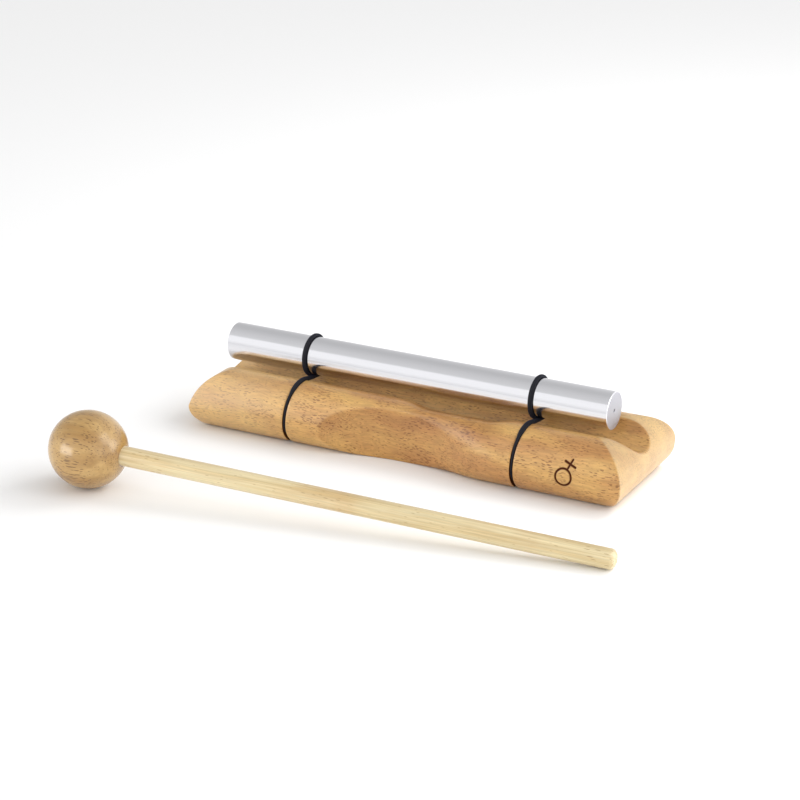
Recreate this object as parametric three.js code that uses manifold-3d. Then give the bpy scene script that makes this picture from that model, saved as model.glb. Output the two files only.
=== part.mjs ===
// Chime bar: a solid aluminium rod hung over a channelled wooden block in two elastic cords,
// with the wooden mallet that belongs to it lying in front.
// Millimetres. +X runs along the rod, +Y points to the far side, +Z is up.
// The origin is the middle of the block's flat underside.

import * as THREE from "three";
import { mergeVertices } from "three/addons/utils/BufferGeometryUtils.js";
import Module from "manifold-3d";

const wasm = await Module();
wasm.setup();

// Chime rod
const ROD_DIAMETER = 16;
const ROD_LENGTH = 175;
const ROD_SINK = 1.1; // how far its underside hangs below the block's flat top
const ROD_OFF_CENTRE = -4; // it lies a little to the left in its loops
const ROD_END_EASE = 0.4;

// Wooden block
const BLOCK_LENGTH = 197.4;
const BLOCK_WIDTH = 58;
const BLOCK_HEIGHT = 24;
const WIDEST_HEIGHT = 9.6; // height of the line where all four sides bulge most
const EDGE_REACH = 15.8; // how far in from the widest line the top rounding runs
const UNDER_OVERSHOOT = 2.4; // how far the rounding below that line would run on past the flat underside
const ARRIS_EASE = 0.6; // sanded edges

// Channel under the rod
const CHANNEL_RADIUS = 11.9;
const CHANNEL_DEPTH = 7.8;
const RIM_EASE = 0.9;

// Grip scoops in the two long sides
const SCOOP_DEPTH = 8.4;
const SCOOP_LENGTH = 70;

// Saw kerfs that hold the cords
const KERF_SPACING = 104;
const KERF_WIDTH = 2;
const KERF_SIDE_DEPTH = 2.8;
const KERF_RIM_DEPTH = 1;
const KERF_UNDER_DEPTH = 2.8;

// Elastic cords
const CORD_DIAMETER = 1.8;
const STRAND_GAP = 0.5; // between the two strands where they cross under the rod
const HOOP_OFF_CENTRE = -0.3; // the rod has dragged its hoops a little to the left of the kerfs

// Mallet
const HEAD_DIAMETER = 32;
const SEAT_DEPTH = 20; // blind bore for the handle
const HANDLE_DIAMETER = 8;
const HANDLE_REACH = 219; // from the head's centre to the handle's far end
const HANDLE_CROWN = 2.3; // depth of the rounded far end
const HEAD_PLACE_X = -100;
const HEAD_PLACE_Y = -100;
const MALLET_TURN = 0.117; // radians, seen from above

// Clearances
const TOUCH_GAP = 0.3; // between pieces that touch
const CUT_OVERRUN = 5; // how far a cutter runs past what it cuts

// Facet counts
const ROUNDING_STEPS_ABOVE = 14;
const ROUNDING_STEPS_BELOW = 5;
const CHANNEL_STEPS = 28;
const RIM_STEPS = 3;
const SCOOP_FACETS = 168;
const KERF_STEPS = 16;
const ROD_FACETS = 56;
const CORD_SIDES = 8;
const WRAP_STEPS = 36;
const STRAND_STEPS = 6;
const BEND_STEPS = 8;
const HEAD_FACETS = 40;
const HEAD_RINGS = 26;
const HANDLE_FACETS = 28;
const CROWN_STEPS = 7;

const QUARTER = Math.PI / 2;
const HALF = Math.PI;
const FULL = 2 * Math.PI;

// Sizes that follow from those above
const rodRadius = ROD_DIAMETER / 2;
const rodAxisHeight = BLOCK_HEIGHT - ROD_SINK + rodRadius;
const halfLength = BLOCK_LENGTH / 2;
const halfWidth = BLOCK_WIDTH / 2;
const topRound = BLOCK_HEIGHT - WIDEST_HEIGHT;
const underRound = WIDEST_HEIGHT + UNDER_OVERSHOOT;
const shoulder = halfWidth - EDGE_REACH; // where the flat top begins, from the middle
const channelCentre = BLOCK_HEIGHT - CHANNEL_DEPTH + CHANNEL_RADIUS;
const channelHalfWidth = Math.sqrt(CHANNEL_RADIUS ** 2 - (channelCentre - BLOCK_HEIGHT) ** 2);

// Materials
const rubberwood = new THREE.MeshStandardMaterial({ color: 0xd9ab6c, roughness: 0.5, metalness: 0 });
const polishedAluminium = new THREE.MeshStandardMaterial({ color: 0xd4d4d8, roughness: 0.2, metalness: 1 });
const elasticCord = new THREE.MeshStandardMaterial({ color: 0x17171f, roughness: 0.8, metalness: 0 });
const headWood = new THREE.MeshStandardMaterial({ color: 0xc79d5f, roughness: 0.35, metalness: 0 });
const paleDowel = new THREE.MeshStandardMaterial({ color: 0xead39b, roughness: 0.55, metalness: 0 });

// A closed surface as a solid that can be cut, with its shared corners merged.
function solidOf(geometry) {
  const bare = geometry.index ? geometry.toNonIndexed() : geometry.clone();
  bare.deleteAttribute("normal");
  bare.deleteAttribute("uv");
  const merged = mergeVertices(bare);
  return new wasm.Manifold(
    new wasm.Mesh({
      numProp: 3,
      vertProperties: new Float32Array(merged.attributes.position.array),
      triVerts: new Uint32Array(merged.index.array),
    }),
  );
}

// A solid's surface after the cuts.
function geometryOf(solid) {
  const mesh = solid.getMesh();
  const geometry = new THREE.BufferGeometry();
  geometry.setAttribute("position", new THREE.BufferAttribute(mesh.vertProperties, mesh.numProp));
  geometry.setIndex(new THREE.BufferAttribute(mesh.triVerts, 1));
  geometry.computeVertexNormals();
  return geometry;
}

// Closed surface through rings of equal point counts; the ends are capped, or joined to each other.
function skin(rings, joined) {
  const count = rings[0].length;
  const positions = rings.flat().flatMap((p) => [p.x, p.y, p.z]);
  const faces = [];
  const bands = joined ? rings.length : rings.length - 1;
  for (let i = 0; i < bands; i++) {
    const here = i * count;
    const next = ((i + 1) % rings.length) * count;
    for (let j = 0; j < count; j++) {
      const k = (j + 1) % count;
      faces.push(here + j, here + k, next + k, here + j, next + k, next + j);
    }
  }
  if (!joined) {
    const last = (rings.length - 1) * count;
    for (let j = 1; j < count - 1; j++) {
      faces.push(0, j + 1, j);
      faces.push(last, last + j, last + j + 1);
    }
  }
  const geometry = new THREE.BufferGeometry();
  geometry.setAttribute("position", new THREE.Float32BufferAttribute(positions, 3));
  geometry.setIndex(faces);
  geometry.computeVertexNormals();
  return geometry;
}

// A shape drawn in the plane across the block, extruded along the block about a place on X.
function acrossBlock(shape, thickness, place) {
  const geometry = new THREE.ExtrudeGeometry(shape, {
    depth: thickness,
    bevelEnabled: false,
    curveSegments: KERF_STEPS,
  });
  geometry.translate(0, 0, place - thickness / 2);
  const turn = new THREE.Matrix4().makeBasis(
    new THREE.Vector3(0, 1, 0),
    new THREE.Vector3(0, 0, 1),
    new THREE.Vector3(1, 0, 0),
  );
  return geometry.applyMatrix4(turn);
}

// How far the rounded sides stand in from the widest line at a height: quarter ellipses above and below.
function inset(height) {
  const above = height > WIDEST_HEIGHT;
  const rise = Math.abs(height - WIDEST_HEIGHT) / (above ? topRound : underRound);
  return EDGE_REACH * (1 - Math.sqrt(Math.max(1 - rise ** 2, 0)));
}

// One horizontal outline of the block, with its four corners eased.
function blockOutline(height, extraInset) {
  const x = halfLength - inset(height) - extraInset;
  const y = halfWidth - inset(height) - extraInset;
  const eased = ARRIS_EASE / 2;
  const corner = [
    [x, y - ARRIS_EASE],
    [x - eased / 2, y - eased / 2],
    [x - ARRIS_EASE, y],
  ];
  const mirrored = [...corner].reverse();
  return [
    ...corner,
    ...mirrored.map(([px, py]) => [-px, py]),
    ...corner.map(([px, py]) => [-px, -py]),
    ...mirrored.map(([px, py]) => [px, -py]),
  ].map(([px, py]) => new THREE.Vector3(px, py, height));
}

// The block before its cuts: a loft through outlines that swell to the widest line and draw in again.
function pillow() {
  const lowest = Math.asin((WIDEST_HEIGHT - ARRIS_EASE) / underRound);
  const rings = [blockOutline(0, ARRIS_EASE)];
  for (let i = 0; i < ROUNDING_STEPS_BELOW; i++) {
    const angle = lowest * (1 - i / ROUNDING_STEPS_BELOW);
    rings.push(blockOutline(WIDEST_HEIGHT - underRound * Math.sin(angle), 0));
  }
  for (let i = 0; i <= ROUNDING_STEPS_ABOVE; i++) {
    const angle = (QUARTER * i) / ROUNDING_STEPS_ABOVE;
    rings.push(blockOutline(WIDEST_HEIGHT + topRound * Math.sin(angle), 0));
  }
  return solidOf(skin(rings, false));
}

// Round-bottomed channel along the whole top, with softened rims.
function channelCutter() {
  const above = BLOCK_HEIGHT + CUT_OVERRUN;
  const rimAngle = Math.asin((channelCentre - BLOCK_HEIGHT + RIM_EASE) / CHANNEL_RADIUS);
  const outline = new THREE.Shape();
  const arc = new THREE.EllipseCurve(
    0,
    channelCentre,
    CHANNEL_RADIUS,
    CHANNEL_RADIUS,
    HALF + rimAngle,
    FULL - rimAngle,
    false,
  ).getPoints(CHANNEL_STEPS);
  const rim = (side, from, to) =>
    new THREE.QuadraticBezierCurve(
      from,
      new THREE.Vector2(side * channelHalfWidth, BLOCK_HEIGHT),
      to,
    ).getPoints(RIM_STEPS);
  const outerLeft = new THREE.Vector2(-channelHalfWidth - RIM_EASE, BLOCK_HEIGHT);
  const outerRight = new THREE.Vector2(channelHalfWidth + RIM_EASE, BLOCK_HEIGHT);
  outline.setFromPoints([
    new THREE.Vector2(-channelHalfWidth - RIM_EASE, above),
    ...rim(-1, outerLeft, arc[0]),
    ...arc.slice(1, -1),
    ...rim(1, arc[arc.length - 1], outerRight),
    new THREE.Vector2(channelHalfWidth + RIM_EASE, above),
  ]);
  return solidOf(acrossBlock(outline, BLOCK_LENGTH + CUT_OVERRUN, 0));
}

// Upright drum that takes a shallow grip out of one long side.
function scoopCutter(side) {
  const radius = (SCOOP_LENGTH ** 2 / 4 + SCOOP_DEPTH ** 2) / (2 * SCOOP_DEPTH);
  const height = BLOCK_HEIGHT + 2 * CUT_OVERRUN;
  const drum = new THREE.CylinderGeometry(radius, radius, height, SCOOP_FACETS);
  drum.rotateX(QUARTER);
  drum.translate(0, side * (halfWidth - SCOOP_DEPTH + radius), BLOCK_HEIGHT / 2);
  return solidOf(drum);
}

// The kerf's floor seen from the end: shallow over the rims, deeper down the sides and under the block.
const kerfSide = EDGE_REACH - KERF_SIDE_DEPTH;
const kerfTop = topRound - KERF_RIM_DEPTH;
const kerfUnder = WIDEST_HEIGHT - KERF_UNDER_DEPTH;

function kerfCutter(place) {
  const inward = Math.acos(-(shoulder - channelHalfWidth + RIM_EASE) / kerfSide);
  const bend = (side, rise, from, to) =>
    new THREE.EllipseCurve(side * shoulder, WIDEST_HEIGHT, kerfSide, rise, from, to, false).getPoints(
      KERF_STEPS,
    );
  const above = BLOCK_HEIGHT + 2 * CUT_OVERRUN;
  const right = [
    ...bend(1, kerfUnder, -QUARTER, 0),
    ...bend(1, kerfTop, 0, inward).slice(1),
  ];
  const innerEdge = right[right.length - 1].x;
  const floor = [
    ...right,
    new THREE.Vector2(innerEdge, above - CUT_OVERRUN),
    new THREE.Vector2(-innerEdge, above - CUT_OVERRUN),
    ...[...right].reverse().map((p) => new THREE.Vector2(-p.x, p.y)),
  ];
  const outer = new THREE.Shape([
    new THREE.Vector2(-halfWidth - CUT_OVERRUN, -CUT_OVERRUN),
    new THREE.Vector2(halfWidth + CUT_OVERRUN, -CUT_OVERRUN),
    new THREE.Vector2(halfWidth + CUT_OVERRUN, above),
    new THREE.Vector2(-halfWidth - CUT_OVERRUN, above),
  ]);
  outer.holes.push(new THREE.Path(floor));
  return solidOf(acrossBlock(outer, KERF_WIDTH, place));
}

function baseBlock() {
  let block = pillow().subtract(channelCutter());
  for (const side of [-1, 1]) {
    block = block.subtract(scoopCutter(side));
    block = block.subtract(kerfCutter((side * KERF_SPACING) / 2));
  }
  const mesh = new THREE.Mesh(geometryOf(block), rubberwood);
  mesh.name = "base_block";
  return mesh;
}

// A turned solid about its own X axis, from a profile of radius and place along the axis.
function turned(profile, facets) {
  const geometry = new THREE.LatheGeometry(profile, facets);
  geometry.rotateZ(-QUARTER);
  return geometry;
}

function chimeRod() {
  const end = ROD_LENGTH / 2;
  const profile = [
    new THREE.Vector2(0, -end),
    new THREE.Vector2(rodRadius - ROD_END_EASE, -end),
    new THREE.Vector2(rodRadius, -end + ROD_END_EASE),
    new THREE.Vector2(rodRadius, end - ROD_END_EASE),
    new THREE.Vector2(rodRadius - ROD_END_EASE, end),
    new THREE.Vector2(0, end),
  ];
  const mesh = new THREE.Mesh(turned(profile, ROD_FACETS), polishedAluminium);
  mesh.name = "chime_rod";
  mesh.position.set(ROD_OFF_CENTRE, 0, rodAxisHeight);
  return mesh;
}

// Route of a cord's centre line, seen from the end, for the front half of the block.
const cordRadius = CORD_DIAMETER / 2;
const squeezedWidth = KERF_WIDTH - 2 * TOUCH_GAP; // pinched between the kerf's walls
const squeezedHeight = KERF_UNDER_DEPTH - 2 * TOUCH_GAP; // clear of what the block stands on
const crossingOffset = cordRadius + STRAND_GAP / 2;
const wrapRadius = rodRadius + TOUCH_GAP + cordRadius;
const routeSide = kerfSide + TOUCH_GAP + squeezedHeight / 2;
const routeTop = kerfTop + TOUCH_GAP + cordRadius;
const routeUnder = kerfUnder + TOUCH_GAP + squeezedHeight / 2;

function kerfPoint(angle) {
  const rise = angle < 0 ? routeUnder : routeTop;
  return [-shoulder - routeSide * Math.cos(angle), WIDEST_HEIGHT + rise * Math.sin(angle)];
}

// The way the cord runs where it passes such a point over the rim.
function kerfRun(angle) {
  return new THREE.Vector2(routeSide * Math.sin(angle), routeTop * Math.cos(angle)).normalize();
}

// Where the strand leaves the rim in a straight line that just touches the wrap round the rod.
function rimDeparture() {
  let low = QUARTER;
  let high = QUARTER + QUARTER / 2;
  for (let i = 0; i < 50; i++) {
    const angle = (low + high) / 2;
    const [y, z] = kerfPoint(angle);
    const run = kerfRun(angle);
    const aboveLine = run.x * (rodAxisHeight - z) + run.y * y;
    if (aboveLine < wrapRadius) low = angle;
    else high = angle;
  }
  return low;
}

const smooth = (share) => share * share * (3 - 2 * share);

// One endless cord: under the block, up the front kerf, over the rim and under the rod, once round the
// rod, changing sides on its way up the back, under it again beside itself, over the back rim and down
// the back kerf.
function cordStations() {
  const leaving = rimDeparture();
  const [rimY, rimZ] = kerfPoint(leaving);
  const run = kerfRun(leaving);
  const length = run.y * (rodAxisHeight - rimZ) - run.x * rimY;
  const touch = [rimY + run.x * length, rimZ + run.y * length];
  const touchAngle = Math.atan2(touch[1] - rodAxisHeight, touch[0]);
  const stations = [];
  const squeezed = { width: squeezedWidth / 2, height: squeezedHeight / 2 };
  const round = { width: cordRadius, height: cordRadius };
  const front = [];
  for (let i = 0; i <= BEND_STEPS; i++) {
    front.push({ at: kerfPoint(-QUARTER + (QUARTER * i) / BEND_STEPS), settled: 0, ...squeezed });
  }
  for (let i = 1; i <= BEND_STEPS; i++) {
    const share = smooth(i / BEND_STEPS);
    const height = squeezed.height + (round.height - squeezed.height) * share;
    front.push({ at: kerfPoint((leaving * i) / BEND_STEPS), settled: 0, width: squeezed.width, height });
  }
  for (let i = 1; i < STRAND_STEPS; i++) {
    const share = i / STRAND_STEPS;
    const settled = smooth(Math.min(1, 2 * share));
    front.push({
      at: [rimY + run.x * length * share, rimZ + run.y * length * share],
      settled,
      width: squeezed.width + (round.width - squeezed.width) * settled,
      height: round.height,
    });
  }
  const frontOffset = HOOP_OFF_CENTRE + crossingOffset;
  const backOffset = HOOP_OFF_CENTRE - crossingOffset;
  stations.push(...front.map((s) => ({ ...s, x: frontOffset * s.settled })));
  const sweep = FULL + 2 * (-QUARTER - touchAngle);
  for (let i = 0; i <= WRAP_STEPS; i++) {
    const angle = touchAngle + (sweep * i) / WRAP_STEPS;
    const upBack = Math.min(1, Math.max(0, (angle + QUARTER / 2) / QUARTER));
    stations.push({
      at: [wrapRadius * Math.cos(angle), rodAxisHeight + wrapRadius * Math.sin(angle)],
      x: frontOffset + (backOffset - frontOffset) * smooth(upBack),
      ...round,
    });
  }
  for (const s of [...front].reverse()) {
    stations.push({ ...s, at: [-s.at[0], s.at[1]], x: backOffset * s.settled });
  }
  return stations;
}

// Oval sections along the stations, joined end to end into one closed tube.
function cordRings(stations, place) {
  const centres = stations.map((s) => new THREE.Vector3(place + s.x, s.at[0], s.at[1]));
  return stations.map((s, i) => {
    const before = centres[(i + centres.length - 1) % centres.length];
    const after = centres[(i + 1) % centres.length];
    const along = after.clone().sub(before).normalize();
    const outward = new THREE.Vector3(1, 0, 0).cross(along).normalize();
    const sideways = outward.clone().cross(along);
    return Array.from({ length: CORD_SIDES }, (_, k) => {
      const angle = (FULL * k) / CORD_SIDES;
      return centres[i]
        .clone()
        .addScaledVector(sideways, s.width * Math.cos(angle))
        .addScaledVector(outward, s.height * Math.sin(angle));
    });
  });
}

// Least distance between points of the tube that are further apart along it than three diameters.
function leastGap(rings) {
  const centres = rings.map((ring) => ring.reduce((sum, p) => sum.add(p), new THREE.Vector3()));
  centres.forEach((c) => c.divideScalar(CORD_SIDES));
  const travelled = [0];
  centres.forEach((c, i) => travelled.push(travelled[i] + c.distanceTo(centres[(i + 1) % centres.length])));
  const total = travelled[centres.length];
  let least = Infinity;
  for (let i = 0; i < rings.length; i++) {
    for (let j = i + 1; j < rings.length; j++) {
      const apart = travelled[j] - travelled[i];
      if (Math.min(apart, total - apart) < 3 * CORD_DIAMETER) continue;
      for (const p of rings[i]) for (const q of rings[j]) least = Math.min(least, p.distanceTo(q));
    }
  }
  return { least, total };
}

function cord(name, place) {
  const rings = cordRings(cordStations(), place);
  const { least, total } = leastGap(rings);
  console.log(`${name}: ${total.toFixed(1)} mm round, least gap to itself ${least.toFixed(2)} mm`);
  const mesh = new THREE.Mesh(skin(rings, true), elasticCord);
  mesh.name = name;
  return mesh;
}

// Mallet: a turned ball with a blind bore, and a dowel glued into it. Both are turned about local X.
const headRadius = HEAD_DIAMETER / 2;
const handleRadius = HANDLE_DIAMETER / 2;
const boreRadius = handleRadius + TOUCH_GAP;
const boreMouth = Math.sqrt(headRadius ** 2 - boreRadius ** 2);
const boreFloor = boreMouth - SEAT_DEPTH;

function malletHead() {
  const mouthAngle = Math.asin(boreRadius / headRadius);
  const profile = [];
  for (let i = 0; i <= HEAD_RINGS; i++) {
    const angle = HALF - ((HALF - mouthAngle) * i) / HEAD_RINGS;
    const radius = i === 0 ? 0 : headRadius * Math.sin(angle);
    profile.push(new THREE.Vector2(radius, headRadius * Math.cos(angle)));
  }
  profile.push(new THREE.Vector2(boreRadius, boreFloor));
  profile.push(new THREE.Vector2(0, boreFloor));
  const mesh = new THREE.Mesh(turned(profile, HEAD_FACETS), headWood);
  mesh.name = "mallet_head";
  return mesh;
}

function malletHandle() {
  const start = boreFloor + TOUCH_GAP;
  const profile = [
    new THREE.Vector2(0, start),
    new THREE.Vector2(handleRadius - ARRIS_EASE, start),
    new THREE.Vector2(handleRadius, start + ARRIS_EASE),
  ];
  for (let i = 0; i < CROWN_STEPS; i++) {
    const angle = (QUARTER * i) / CROWN_STEPS;
    const place = HANDLE_REACH - HANDLE_CROWN * (1 - Math.sin(angle));
    profile.push(new THREE.Vector2(handleRadius * Math.cos(angle), place));
  }
  profile.push(new THREE.Vector2(0, HANDLE_REACH));
  const mesh = new THREE.Mesh(turned(profile, HANDLE_FACETS), paleDowel);
  mesh.name = "mallet_handle";
  return mesh;
}

// The mallet lies on its ball and on the far end of its handle, so the handle slopes down a little.
function mallet() {
  const slope = Math.asin((headRadius - handleRadius) / HANDLE_REACH);
  const group = new THREE.Group();
  group.add(malletHead(), malletHandle());
  group.rotation.set(0, slope, MALLET_TURN, "ZYX");
  group.position.set(HEAD_PLACE_X, HEAD_PLACE_Y, headRadius);
  return group;
}

const group = new THREE.Group();
group.add(baseBlock());
group.add(chimeRod());
group.add(cord("cord_left", -KERF_SPACING / 2));
group.add(cord("cord_right", KERF_SPACING / 2));
group.add(mallet());

export default group;
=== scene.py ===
# %% [markdown]
# A chime bar, dressed for a studio picture
#
# The real object is a polished aluminium rod that two black elastic cords hold over a channelled
# block of lacquered hardwood. A wooden ball on a pale dowel strikes it.
# The imported model already fixes where every piece is and how large it is. This script gives each
# piece its finished surface and its material, and never moves what the imported model holds.
# So the first step loads that model, whose pieces' boxes give the places and sizes used below.

# %% Load the frame
import math

import bmesh
import bpy
import numpy as np
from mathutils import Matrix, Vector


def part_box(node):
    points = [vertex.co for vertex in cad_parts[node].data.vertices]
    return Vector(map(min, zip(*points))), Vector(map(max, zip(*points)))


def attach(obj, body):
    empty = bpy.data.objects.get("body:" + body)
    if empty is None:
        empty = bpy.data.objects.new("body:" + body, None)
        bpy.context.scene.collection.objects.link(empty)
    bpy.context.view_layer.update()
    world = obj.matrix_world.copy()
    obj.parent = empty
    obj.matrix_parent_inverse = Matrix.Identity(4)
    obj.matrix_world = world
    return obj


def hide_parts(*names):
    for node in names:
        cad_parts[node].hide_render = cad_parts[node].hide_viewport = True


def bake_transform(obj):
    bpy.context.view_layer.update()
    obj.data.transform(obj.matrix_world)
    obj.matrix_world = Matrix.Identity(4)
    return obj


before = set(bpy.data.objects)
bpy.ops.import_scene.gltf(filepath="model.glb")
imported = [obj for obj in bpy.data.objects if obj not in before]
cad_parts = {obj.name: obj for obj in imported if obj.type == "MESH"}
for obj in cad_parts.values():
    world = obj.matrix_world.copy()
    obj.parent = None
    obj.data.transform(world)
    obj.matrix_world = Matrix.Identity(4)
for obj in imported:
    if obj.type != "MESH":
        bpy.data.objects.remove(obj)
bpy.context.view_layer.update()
MM = 0.001

# %% [markdown]
# The camera
#
# The picture was taken with a long lens, about twice the normal one, from the front right and a
# little above: the rod's far end is hardly smaller than its near end. A camera is easiest to think
# of as a direction to look from, a distance, and a point of aim. The three unit vectors below are the
# camera's own right, up and back, and the point of aim is given along the first two.

# %% Camera
AZIMUTH = math.radians(27.8)
ELEVATION = math.radians(21.44)
DISTANCE = 1002.9 * MM
AIM_RIGHT, AIM_UP = -11.2 * MM, 18.86 * MM
LENS, SENSOR_WIDTH = 108.4, 36  # millimetres inside the camera

back = np.array([math.sin(AZIMUTH) * math.cos(ELEVATION), -math.cos(AZIMUTH) * math.cos(ELEVATION),
                 math.sin(ELEVATION)])
right = np.array([math.cos(AZIMUTH), math.sin(AZIMUTH), 0])
up = np.cross(back, right)

camera = bpy.data.objects.new("camera", bpy.data.cameras.new("camera"))
bpy.context.scene.collection.objects.link(camera)
camera.data.lens = LENS
camera.data.sensor_width = SENSOR_WIDTH
camera.location = right * AIM_RIGHT + up * AIM_UP + back * DISTANCE
camera.rotation_euler = (math.pi / 2 - ELEVATION, 0, AZIMUTH)
bpy.context.scene.camera = camera
print("camera stands at", np.round(camera.location, 3))

# %% [markdown]
# Colours and nodes
#
# Colours are written as the hex values that a screen shows. Blender's shaders count in linear light,
# so one function turns the one into the other. A second function adds a shader node: it takes the
# node's settings and what each of its sockets is fed with, either a value or another node's output.
# Three short ones below it add the nodes that are needed most: a sum, a blend of two colours and a
# remapped value. With these, each material below reads as a short recipe.

# %% Colour and node helpers
def colour(code):
    """A screen colour such as "d9ab6c" in linear light: v / 12.92 below 0.04045, else a power of 2.4."""
    v = np.array([int(code[i:i + 2], 16) for i in (0, 2, 4)]) / 255
    linear = np.where(v <= 0.04045, v / 12.92, ((v + 0.055) / 1.055) ** 2.4)
    return (*linear.tolist(), 1.0)


def add(tree, kind, feeds=None, **settings):
    """Adds a shader node. A socket in feeds gets a value, or a link if it is fed with an output."""
    node = tree.nodes.new("ShaderNode" + kind)
    for name, value in settings.items():
        setattr(node, name, value)
    for socket, value in (feeds or {}).items():
        if isinstance(value, bpy.types.NodeSocket):
            tree.links.new(value, node.inputs[socket])
        else:
            node.inputs[socket].default_value = value
    return node


def calc(tree, operation, *values):
    """The result of a Math node: one, two or three values and what to do with them."""
    return add(tree, "Math", dict(enumerate(values)), operation=operation).outputs[0]


def blended(tree, kind, factor, a, b):
    """Mixes colour b over a by a factor, in Mix, Multiply or another blend kind."""
    node = add(tree, "Mix", {"Factor": factor, 6: a, 7: b}, data_type="RGBA", blend_type=kind)
    return node.outputs[2]


def remap(tree, value, low, high, to_low=0.0, to_high=1.0):
    """A value between low and high as one between to_low and to_high, clamped, with soft ends."""
    feeds = {0: value, 1: low, 2: high, 3: to_low, 4: to_high}
    return add(tree, "MapRange", feeds, interpolation_type="SMOOTHSTEP").outputs[0]


def new_material(name):
    """An empty material with its Principled shader: the tree, the shader, and the object's coordinates."""
    material = bpy.data.materials.new(name)
    material.use_nodes = True
    tree = material.node_tree
    shader = tree.nodes["Principled BSDF"]
    return material, tree, shader, add(tree, "TexCoord").outputs["Object"]


# %% [markdown]
# The studio
#
# The object stands on plain white paper, in light so soft that it comes from a whole room. What the
# room looks like matters most for the rod, which is a mirror bent round one axis: each line along it
# reflects one angle round the X axis. A wide white panel stands in front of the object, from the
# table's edge to halfway up, and the wall and ceiling above and behind it are grey. Hence the bright
# band along the rod's front, with a crisp upper edge, and its grey upper half.
# So the world's brightness is a ramp over that one angle. The rod only mirrors the front left of the
# room, and a window wall brightens the far right, so the ramp is multiplied by a second one: how much
# a direction agrees with the one towards the window.

# %% World
world = bpy.data.worlds.new("studio room")
bpy.context.scene.world = world
world.use_nodes = True
tree = world.node_tree
bpy.context.scene.view_settings.view_transform = "Standard"

skyward = add(tree, "TexCoord").outputs["Generated"]
direction = add(tree, "SeparateXYZ", {0: skyward})
forward = calc(tree, "MULTIPLY", direction.outputs["Y"], -1)
angle = calc(tree, "ARCTAN2", direction.outputs["Z"], forward)
ramp = add(tree, "ValToRGB", {0: calc(tree, "DIVIDE", angle, math.pi)})

# degrees round the X axis, from the front horizon over the top to the back, and the brightness there
ROOM = [(0, 0.9), (6, 0.98), (16, 1.1), (49, 1.1), (49.6, 0.77), (75, 0.71), (110, 0.6), (150, 0.56),
        (180, 0.66)]
TO_WINDOW, WINDOW_FROM, WINDOW_FULL, WINDOW_GAIN = (0.8, 0.6, 0), -0.1, 0.85, 1.0
while len(ramp.color_ramp.elements) < len(ROOM):
    ramp.color_ramp.elements.new(0.5)
for stop, (degrees, brightness) in zip(ramp.color_ramp.elements, ROOM):
    stop.position = degrees / 180
    stop.color = (brightness, brightness, brightness, 1)
agrees = add(tree, "VectorMath", {0: skyward, 1: TO_WINDOW}, operation="DOT_PRODUCT").outputs["Value"]
to_right = remap(tree, agrees, WINDOW_FROM, WINDOW_FULL, 1, 1 + WINDOW_GAIN)
background = tree.nodes["Background"]
tree.links.new(ramp.outputs["Color"], background.inputs["Color"])
tree.links.new(to_right, background.inputs["Strength"])
print("room brightness from", ROOM[0], "to", ROOM[-1])

# %% [markdown]
# Soft lamps shape the wood. The side light and the front light stand at the left: they brighten the
# block's left end most and leave the left half of the grip's hollow in shade. The card above them is
# only seen as a reflection: the lacquer's pale sheen along the upper front, strongest at the left.
# The key stands to the right and halfway up, and leaves a wide sheen on the right of the ball. The
# end light stands low at the right, and the table light brightens the paper behind the block's right
# end: together they give that end the pale veil that lacquer shows at a grazing look. A small one low
# at the left puts a bright window on the ball. All are square area lamps: the larger and nearer such
# a lamp is, the softer its shadows. In a studio, cards keep a lamp off the things that it shouldn't
# light. Here a lamp may be given a list of the objects that receive its light, which does the same.

# %% Lamps and floor
def facing_back(towards):
    """The turn that points a lamp's -Z against towards: tilt from the zenith, then turn round Z."""
    return (math.acos(towards[2]), 0, math.atan2(towards[1], towards[0]) + math.pi / 2)


def softbox(name, aim, towards, distance, size, power):
    """A square lamp at aim + towards * distance that looks back at aim; metres and watts."""
    lamp = bpy.data.objects.new(name, bpy.data.lights.new(name, "AREA"))
    bpy.context.scene.collection.objects.link(lamp)
    towards = np.array(towards) / np.linalg.norm(towards)
    lamp.location = np.array(aim) + towards * distance
    lamp.rotation_euler = facing_back(towards)
    lamp.data.shape = "SQUARE"
    lamp.data.size = size
    lamp.data.energy = power
    return lamp


def lights_only(lamp, objects):
    """Keeps a lamp's light to these objects."""
    receivers = bpy.data.collections.new(lamp.name + " receivers")
    for thing in objects:
        receivers.objects.link(thing)
    lamp.light_linking.receiver_collection = receivers


MID_BLOCK = (0, 0, 0.02)
side_light = softbox("side light", MID_BLOCK, (-0.88, -0.38, 0.3), 0.7, 0.4, 1.2)
front_light = softbox("front light", MID_BLOCK, (-0.6, -0.78, 0.15), 0.7, 0.4, 0.9)
sheen_card = softbox("sheen card", (-0.09, -0.02, 0.02), (-0.6, -0.4, 0.7), 0.5, 0.5, 1.3)
sheen_card.visible_diffuse = False
softbox("key light", MID_BLOCK, (0.755, 0.03, 0.65), 0.9, 0.5, 1.6)
softbox("end light", (0.09, 0, 0.015), (0.9, 0.35, 0.2), 0.8, 0.5, 2.1)
table_light = softbox("table light", (0.2, 0.18, 0), (0.1, 0.3, 0.95), 0.4, 0.3, 1.5)
ball_light = softbox("ball light", (-0.1, -0.1, 0.016), (-0.53, -0.85, 0.02), 0.45, 0.3, 1.25)

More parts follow.
